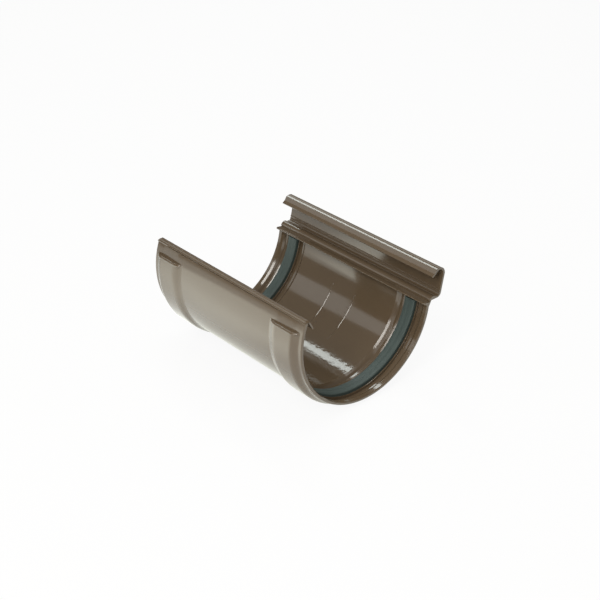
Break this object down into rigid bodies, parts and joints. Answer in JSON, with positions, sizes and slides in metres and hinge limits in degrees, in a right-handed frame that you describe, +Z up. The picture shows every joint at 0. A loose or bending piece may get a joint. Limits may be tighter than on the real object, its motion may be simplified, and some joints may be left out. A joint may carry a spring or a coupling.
{
  "type": "gutter union",
  "caption": "Half-round gutter union: a moulded trough with a bead clip along the front edge, a snap hook along the rear edge and a rubber seal near each mouth.",
  "frame": {"origin": "on the axis of the half-round gutter, at mid length of the union", "axes": "+X along the gutter run, +Y towards the front wall with the bead clip, +Z up"},
  "size_m": [0.175, 0.1499, 0.0946],
  "materials": {
    "pvc": "smooth glossy moulded PVC in one taupe brown",
    "rubber": "satin moulded EPDM"
  },
  "bodies": {
    "root": {"union_body": "pvc", "left_seal": "rubber", "right_seal": "rubber"}
  },
  "joints": []
}
